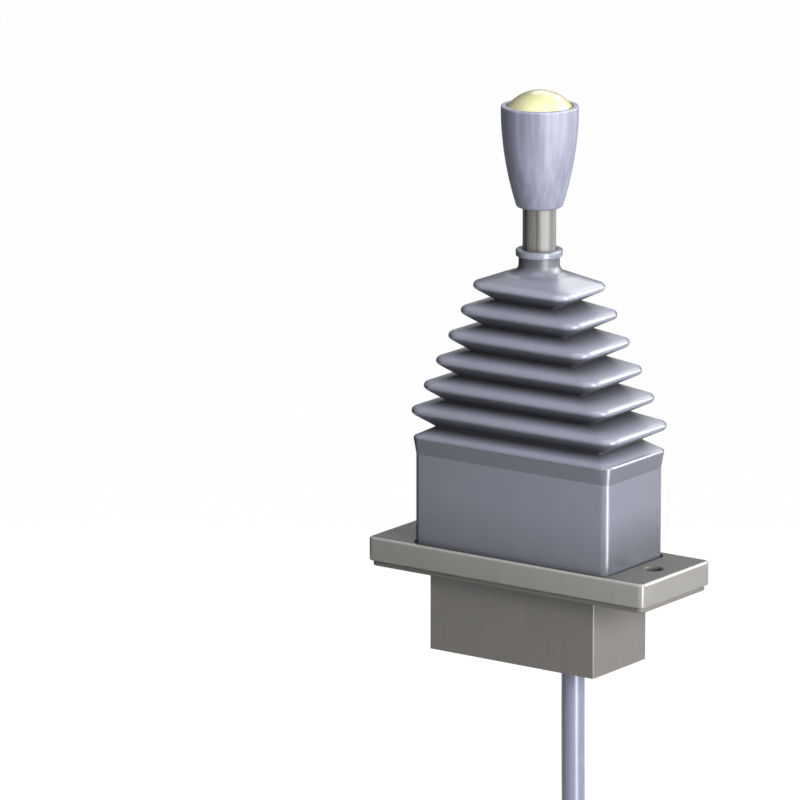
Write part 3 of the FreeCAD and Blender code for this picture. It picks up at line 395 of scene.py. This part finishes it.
def stackRings(mesh, sections, closed=False):
    loops = [ringEdges(rectangleRing(mesh, *section)) for section in sections]
    pairs = list(zip(loops, loops[1:]))
    if closed:
        pairs.append((loops[-1], loops[0]))
    for low, high in pairs:
        bmesh.ops.bridge_loops(mesh, edges=low + high)
    return loops


# The bellows boot: skirt, six fins with round lips, neck and collar

boot = {
    # the skirt's half sizes and corner, and the walls of skirt and folds, in millimetres
    "bottom": 9.2, "skirt": (42.3, 18.4, 3.4), "wall": 2.0, "thin": 1.2,
    # the band that flares out round the skirt's top, up to its round rim
    "flare": 43.5, "flareStep": 0.06, "rim": 50.2, "rimOut": 1.0, "rimRound": 1.0,
    "rimArc": (0, 80), "rimCuts": 6,
    # the top fin's height and half sizes, how far each next one is lower and larger, the lips
    "fins": 6, "pitch": 9.69, "top": 107.45, "half": (21.4, 15.0), "step": (4.73, 0.93),
    "corner": 6.5, "lip": 1.46, "lipCuts": 8, "lipArc": (-58, 65),
    # how far the folds lie inside and below the lips, and the straight stretch at their foot
    "valley": (9.0, 5.7), "valleyCorner": 0.9, "drop": 5.2, "neckHigh": 0.15,
    # the lowest fold's foot, and the hollow inside the fins and the skirt
    "shoulder": 53.4, "innerCorner": 5.5, "finWall": 2.8, "ceiling": 48.0,
    # the round neck that flares into the top fin, its bore, and the collar
    "neckRadius": 7.4, "neckBase": 112.0, "neckFlare": (4.6, 2.8), "neckFlareHigh": 3.6,
    "neckCuts": 10, "bore": 6.3, "boreFoot": 109.0,
    "collarRadius": 8.45, "collarBase": 118.5, "collarTop": 121.0, "collarRound": 0.5,
    "collarCuts": 4,
    # colour as a share of the rubber's own: darker towards the skirt's foot, painted shade on the skirt's
    # two ends, on the flared band and in the folds
    "footTone": 0.70, "footRise": 22.0, "endPaintedShade": (0.40, 0.92), "bandPaintedShade": 0.66,
    "valleyPaintedShade": 0.10,
    # tones of a lip's underside, its nose and its top, and of the top fin's lip: painted shade below,
    # painted highlight on the nose and the top
    "lipPaintedLight": (0.42, 1.25, 1.60), "topLipPaintedLight": (0.42, 1.75, 1.85),
    "slopePaintedLight": ((0.30, 0.48), (0.60, 1.02), (0.88, 1.58)),      # share of the slope, tone: painted shade near the fold turning to painted light near the lip
    # rows up the top fin, its painted light and its dullness
    "crownRows": (0.25, 0.5, 0.75), "crownPaintedLight": 1.45, "crownDull": 0.15,
    # painted shade on the neck under the collar, darkest at its top, the neck's dullness, and painted light
    # on the collar
    "neckPaintedShade": 0.42, "neckTopPaintedShade": 0.336, "neckDull": 0.5, "collarPaintedLight": 1.20,
}


def lipSections(half, corner, z, radius, cuts, start, end, tones=(1.0, 1.0, 1.0)):
    rows = []
    for place in range(cuts + 1):
        angle = radians(start + (end - start) * place / cuts)
        inset = radius * (1 - cos(angle))
        side = tones[0] if angle < 0 else tones[2]
        tone = tones[1] + (side - tones[1]) * abs(sin(angle))
        rows.append((half[0] - inset, half[1] - inset, corner - inset,
                     z + radius * sin(angle), tone))
    return rows


def finHeight(place):
    return boot["top"] - place * boot["pitch"]


def finHalf(place):
    return [boot["half"][axis] + place * boot["step"][axis] for axis in (0, 1)]


def valleyHalf(place, inset=0.0):
    return [half - depth - inset for half, depth in zip(finHalf(place), boot["valley"])]


def valleyFoot(place):
    if place == boot["fins"] - 1:
        return boot["shoulder"]
    return finHeight(place) - boot["drop"] - boot["neckHigh"]


def between(low, high, share, tone, dull):
    return tuple(a + (b - a) * share for a, b in zip(low[:4], high[:4])) + (tone, dull)


def skirtRows():
    x, y, corner = boot["skirt"]
    # painted shade on the flared band, painted highlight on the rim's top
    band, out, bend = boot["bandPaintedShade"], boot["rimOut"], boot["rimRound"]
    rows = [(x, y, corner, boot["bottom"], boot["footTone"]),
            (x, y, corner, boot["bottom"] + boot["footRise"], 1.0),
            (x, y, corner, boot["flare"] - boot["flareStep"], 1.0),
            (x, y, corner, boot["flare"], band)]
    return rows + lipSections((x + out, y + out), corner + out, boot["rim"] - bend, bend,
                              boot["rimCuts"], *boot["rimArc"],
                              (band, band, boot["lipPaintedLight"][2]))


def finRows(place, below):
    z = finHeight(place)
    fold = (*valleyHalf(place), boot["valleyCorner"])
    # painted shade in the fold, painted shade and light up the slope, painted light on the lip
    low, high = [(*fold, level, boot["valleyPaintedShade"], 1.0)
                 for level in (valleyFoot(place), z - boot["drop"])]
    slope = [between(low, below, share, tone, 1.0) for share, tone in boot["slopePaintedLight"]]
    lip = lipSections(finHalf(place), boot["corner"], z, boot["lip"], boot["lipCuts"],
                      *boot["lipArc"], boot["lipPaintedLight" if place else "topLipPaintedLight"])
    return slope[::-1] + [low, high] + lip


def neckRows(lip):
    radius, neck, crown = [boot[key] for key in ("neckRadius", "neckPaintedShade", "crownPaintedLight")]
    flare = []
    for place in range(boot["neckCuts"] + 1):
        share = place / boot["neckCuts"]
        angle = pi / 2 * share
        outX, outY = [radius + reach * (1 - sin(angle)) for reach in boot["neckFlare"]]
        level = boot["neckBase"] + boot["neckFlareHigh"] * (1 - cos(angle))
        # the flare turns from the top fin's painted light to the neck's painted shade
        flare.append((outX, outY, outY, level, crown + (neck - crown) * share,
                      boot["neckDull"] * share))
    rows = [between(lip, flare[0], share, crown, boot["crownDull"])
            for share in boot["crownRows"]]
    top = (radius, radius, radius, boot["collarBase"], boot["neckTopPaintedShade"], boot["neckDull"])
    return rows + flare + [top]


def collarRows():
    rows = []
    radius, bend = boot["collarRadius"], boot["collarRound"]
    for centre, start in ((boot["collarBase"] + bend, -90), (boot["collarTop"] - bend, 0)):
        for x, y, _, z, _ in lipSections((radius, radius), radius, centre, bend,
                                         boot["collarCuts"], start, start + 90):
            rows.append((x, y, x, z, boot["collarPaintedLight"]))
    return rows


def bootOutside():
    rows = skirtRows()
    for place in reversed(range(boot["fins"])):
        rows += finRows(place, rows[-1])
    return rows + neckRows(rows[-1]) + collarRows()


def bootInside():
    x, y, corner = boot["skirt"]
    wall, thin, bore = boot["wall"], boot["thin"], boot["bore"]
    rows = [(bore, bore, bore, boot["collarTop"]), (bore, bore, bore, boot["boreFoot"])]
    for place in range(boot["fins"]):
        z = finHeight(place)
        finX, finY = [half - boot["finWall"] for half in finHalf(place)]
        fold = (*valleyHalf(place, thin), boot["valleyCorner"])
        rows += [(finX, finY, boot["innerCorner"], z), (*fold, z - boot["drop"]),
                 (*fold, valleyFoot(place))]
    rows += [(x - wall, y - wall, corner - wall, level)
             for level in (boot["ceiling"], boot["bottom"])]
    return rows


def shadeSkirtEnds(mesh):      # painted shade: the skirt's two ends are darker, most of all at the foot
    tones = mesh.verts.layers.float["tone"]
    x, _, corner = boot["skirt"]
    low, high = boot["endPaintedShade"]
    for v in mesh.verts:
        if v.co.z < boot["flare"] + boot["flareStep"]:
            rise = min((v.co.z - boot["bottom"]) / boot["footRise"], 1.0)
            facing = max(0.0, (abs(v.co.x) - (x - corner)) / corner) ** 2
            v[tones] *= 1 - facing * (1 - low - (high - low) * rise)


def makeBoot():
    mesh = tonedMesh()
    stackRings(mesh, bootOutside() + bootInside(), closed=True)
    shadeSkirtEnds(mesh)
    piece = newPiece("bellowsBoot", mesh, "boot_rubber", stands=("bellows_boot",), sharp=32,
                     size=millimetre)
    # the skirt stays on the base, the collar goes with the lever, and the fins bend between
    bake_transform(piece, "base", "lever", (0, 0, 0.049), (0, 0, 0.1185))
    return piece


bellowsBoot = makeBoot()
print("bellows boot has", len(bellowsBoot.data.polygons), "faces")


# The mounting flange and its gasket: plates with a window and two holes

# a pocket has half sizes, a corner and its floor's height, a window half sizes and a corner,
# and a hole its distance from the middle and its radius
mountingFlange = {
    "node": "mounting_flange", "slot": "flange_metal", "half": (60.0, 22.0), "corner": 2.5,
    "bottom": 2.0, "top": 10.7, "easeTop": 0.9, "easeBottom": 0.35,
    "pocket": (43.0, 19.1, 4.1, 9.2), "window": (27.0, 13.6, 2.0),
    # painted shade round the holes; a painted highlight on the top edge, painted shade on the top and on the
    # inner walls
    "hole": (50.0, 3.3), "holeEase": 0.35, "holePaintedShade": 0.36,
    "edgePaintedLight": 2.1, "topPaintedShade": 0.20, "topDull": 0.9, "insidePaintedShade": 0.18,
}
flangeGasket = {
    "node": "flange_gasket", "slot": "gasket_rubber", "half": (59.0, 21.0), "corner": 2.5,
    "bottom": 0.0, "top": 2.0, "easeTop": 0.25, "easeBottom": 0.4,
    "pocket": None, "window": (35.75, 16.9, 0.65),
    # painted shade under the flange: round the holes, on the top edge, on the top and on the window's walls
    "hole": (50.0, 3.3), "holeEase": 0.1, "holePaintedShade": 0.5,
    "edgePaintedLight": 0.35, "topPaintedShade": 0.3, "topDull": 0.5, "insidePaintedShade": 0.25,
}
plateTrim = {
    "sideTone": 1.0, "footTone": 0.8, "edgeCuts": 4,
    "edgeFade": 0.15, "pocketFade": (0.35, 0.2), "pocketEase": 0.2,      # widths of the trims
    "holeFade": 0.1, "holeDeep": 1.2,
}


def roundedEdge(plate, z, ease, upward, tones):
    (x, y), corner, cuts = plate["half"], plate["corner"], plateTrim["edgeCuts"]
    rows = []
    for place in range(cuts + 1):
        share = place / cuts
        inset = ease * (1 - cos(pi / 2 * share))
        level = z - upward * ease * (1 - sin(pi / 2 * share))
        rows.append((x - inset, y - inset, corner - inset, level,
                     tones[0] + (tones[1] - tones[0]) * share))
    return rows


def plateRim(plate):
    side, foot, fade = [plateTrim[key] for key in ("sideTone", "footTone", "edgeFade")]
    rows = roundedEdge(plate, plate["bottom"], plate["easeBottom"], -1, (side, foot))[::-1]
    rows += roundedEdge(plate, plate["top"], plate["easeTop"], 1, (side, plate["edgePaintedLight"]))
    x, y, corner = rows[-1][:3]
    return rows + [(x - fade, y - fade, corner, plate["top"], plate["topPaintedShade"],
                    plate["topDull"])]


def plateWindow(plate):
    high, top, inside, dull = [plate[key] for key in ("top", "topPaintedShade", "insidePaintedShade", "topDull")]
    rows, start = [], high
    if plate["pocket"]:
        x, y, bend, start = plate["pocket"]
        rows += [(x + fade, y + fade, bend, high, top, dull)
                 for fade in plateTrim["pocketFade"]]
        rows += [(x, y, bend, level, inside, 1.0)
                 for level in (high - plateTrim["pocketEase"], start)]
    return rows + [(*plate["window"], level, inside, 1.0) for level in (start, plate["bottom"])]


def plateHole(mesh, plate, place):
    high, top, inside = [plate[key] for key in ("top", "topPaintedShade", "insidePaintedShade")]
    radius, ease = plate["hole"][1], plate["holeEase"]
    walls = [(radius + ease + plateTrim["holeFade"], high, top), (radius + ease, high, top),
             (radius, high - ease, plate["holePaintedShade"]),
             (radius, high - ease - plateTrim["holeDeep"], inside),
             (radius, plate["bottom"], inside)]
    before = set(mesh.verts)
    loops = stackRings(mesh, [(r, r, r, z, tone, plate["topDull"]) for r, z, tone in walls])
    shift = [v for v in mesh.verts if v not in before]
    bmesh.ops.translate(mesh, verts=shift, vec=(place, 0, 0))
    return loops


def makePlate(name, plate):
    mesh = tonedMesh()
    outer = stackRings(mesh, plateRim(plate))
    inner = stackRings(mesh, plateWindow(plate))
    tops, bottoms = outer[-1] + inner[0], outer[0] + inner[-1]
    away = plate["hole"][0]
    for place in (away, -away):
        loops = plateHole(mesh, plate, place)
        tops, bottoms = tops + loops[0], bottoms + loops[-1]
    for edges in (tops, bottoms):
        bmesh.ops.triangle_fill(mesh, edges=edges, use_beauty=True, use_dissolve=False)
    return newPiece(name, mesh, plate["slot"], "base", (plate["node"],), size=millimetre)


for name, plate in (("mountingFlange", mountingFlange), ("flangeGasket", flangeGasket)):
    print(name, "has", len(makePlate(name, plate).data.polygons), "faces")


# The lower housing, with its edges eased to catch the light

lowerHousing = {
    "node": "lower_housing", "slot": "housing_metal", "body": "base",
    "ease": 0.28, "segments": 3, "evenness": 90,
    "fromAngle": 28,      # only edges that turn by more degrees than this are eased
}


def easePiece(name, look):
    mesh = mergedCopy(look["node"])
    edges = [e for e in mesh.edges if e.calc_face_angle(0.0) > radians(look["fromAngle"])]
    bmesh.ops.bevel(mesh, geom=edges, affect="EDGES", offset=look["ease"] * millimetre,
                    segments=look["segments"], profile=0.5, material=-1, clamp_overlap=True)
    piece = newPiece(name, mesh, look["slot"], look["body"], (look["node"],))
    even = piece.modifiers.new("evenShading", "WEIGHTED_NORMAL")
    even.keep_sharp = True
    even.weight = look["evenness"]
    return piece


print("lower housing has", len(easePiece("lowerHousing", lowerHousing).data.polygons), "faces")


# Springs that give between the two bodies they press apart

springs = {
    # new piece: node, the bodies that hold its low and its high end, the heights in millimetres
    # between which it gives, and how often it is cut there
    "buttonSpring": ("button_spring", "lever", "button", (164.6, 171.9), 0),
    "centringSpring": ("centring_spring", "lever", "base", (9.2, 10.8), 6),
}
cutTolerance = 1e-7


def makeSpring(name, node, lowBody, highBody, span, cuts):
    mesh = mergedCopy(node)
    low, high = [Vector((0, 0, height * millimetre)) for height in span]
    for place in range(cuts):
        geometry = [*mesh.verts, *mesh.edges, *mesh.faces]
        bmesh.ops.bisect_plane(mesh, geom=geometry, plane_no=(0, 0, 1), dist=cutTolerance,
                               plane_co=low.lerp(high, place / (cuts - 1)))
    piece = newPiece(name, mesh, "spring_steel", stands=(node,), sharp=40)
    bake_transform(piece, lowBody, highBody, low, high)
    return piece


for name, values in springs.items():
    print(name, "has", len(makeSpring(name, *values).data.polygons), "faces")


# The studio: pale floor, white background and soft lamps

studio = {
    "floorHeight": -0.300, "floorSize": 12.0, "floorWhite": 0.95, "floorGlow": 1.04,
    "floorPaper": 0.8, "worldLight": 0.02,
    "lamps": [
        # name, azimuth from +X towards the front, elevation, distance, width, height, power
        ("keyLamp", 20, 12, 0.8, 0.25, 0.44, 9.2),
        ("topLamp", 58, 62, 1.0, 0.70, 0.60, 4.2),
    ],
    "fills": [
        # the same, for plain light alone, on the sides that the photograph doesn't show
        ("backFill", 236, 6, 1.2, 0.80, 0.60, 7.0),
    ],
    "glows": [
        # the same, for reflections alone
        ("keyGlow", 20, -16, 0.8, 0.25, 0.36, 6.6),
        ("sideGlow", 308, 26, 1.0, 0.50, 0.75, 20.0),
        ("rightGlow", 342, 14, 1.0, 0.45, 0.60, 6.8),
        ("backGlow", 250, 36, 1.3, 0.90, 0.45, 6.6),
    ],
    "flags": [
        # name, azimuth, elevation, distance, width, height: dark cards that only reflections see
        ("backFlag", 243, 16, 1.6, 3.0, 1.35),
        ("leftFlag", 185, 0, 1.0, 1.5, 0.75),
        ("underFlag", 0, -90, 0.36, 0.9, 0.9),
    ],
    "flagCard": (0.03, 0.9),      # shade and roughness
    "aim": (0.0, 0.0, 0.07),
}


def grey(shade):
    return (shade, shade, shade, 1.0)


def addWorld(setup):
    world = bpy.data.worlds.new("studio")
    world.use_nodes = True
    scene.world = world
    tree = NodeTree(world.node_tree)
    level = tree.node("ShaderNodeMapRange", {}, {
        "Value": tree.seenRays(), "To Min": setup["worldLight"], "To Max": 1.0})
    sky = tree.node("ShaderNodeBackground", {}, {"Color": grey(1.0), "Strength": level})
    tree.node("ShaderNodeOutputWorld", {}, {"Surface": sky}, None)


def addSheet(name, width, height, place, material):
    mesh = bmesh.new()
    bmesh.ops.create_grid(mesh, x_segments=1, y_segments=1, size=0.5)
    bmesh.ops.scale(mesh, verts=mesh.verts, vec=(width, height, 1))
    bmesh.ops.transform(mesh, verts=mesh.verts, matrix=place)
    data = bpy.data.meshes.new(name)
    mesh.to_mesh(data)
    mesh.free()
    data.materials.append(material)
    sheet = bpy.data.objects.new(name, data)
    scene.collection.objects.link(sheet)
    return sheet


def addFloor(setup):
    finish = Finish("floorPaper")
    paper = finish.node("ShaderNodeBsdfDiffuse", {}, {"Color": grey(setup["floorPaper"])})
    glow = finish.node("ShaderNodeEmission", {}, {
        "Color": grey(1.0), "Strength": setup["floorGlow"]})
    share = finish.seenRays() * setup["floorWhite"]
    both = finish.node("ShaderNodeMixShader", {}, {0: share, 1: paper, 2: glow})
    finish.node("ShaderNodeOutputMaterial", {}, {"Surface": both}, None)
    place = Matrix.Translation((0, 0, setup["floorHeight"]))
    addSheet("floor", setup["floorSize"], setup["floorSize"], place, finish.material)


def lookingIn(setup, azimuth, elevation, distance):      # turned to face the aim
    a, e = radians(azimuth), radians(elevation)
    away = Vector((cos(a) * cos(e), -sin(a) * cos(e), sin(e)))
    turn = away.to_track_quat("Z", "Y").to_matrix().to_4x4()
    return Matrix.Translation(Vector(setup["aim"]) + away * distance) @ turn


def addLamps(setup):
    for name, azimuth, elevation, distance, width, height, power in (
            setup["lamps"] + setup["fills"] + setup["glows"]):
        lamp = bpy.data.lights.new(name, "AREA")
        lamp.shape = "RECTANGLE"
        lamp.size = width
        lamp.size_y = height
        lamp.energy = power
        holder = bpy.data.objects.new(name, lamp)
        scene.collection.objects.link(holder)
        holder.visible_diffuse = not name.endswith("Glow")
        holder.visible_glossy = not name.endswith("Fill")
        holder.matrix_world = lookingIn(setup, azimuth, elevation, distance)


def addFlags(setup):
    shade, roughness = setup["flagCard"]
    card = Finish("flagCard").surface(Base_Color=grey(shade), Roughness=roughness)
    for name, azimuth, elevation, distance, width, height in setup["flags"]:
        place = lookingIn(setup, azimuth, elevation, distance)
        flag = addSheet(name, width, height, place, card)
        flag.visible_camera = False
        flag.visible_shadow = False
        flag.visible_diffuse = False


addWorld(studio)
addFloor(studio)
addLamps(studio)
addFlags(studio)
scene.view_settings.view_transform = "Standard"
print("studio is lit")
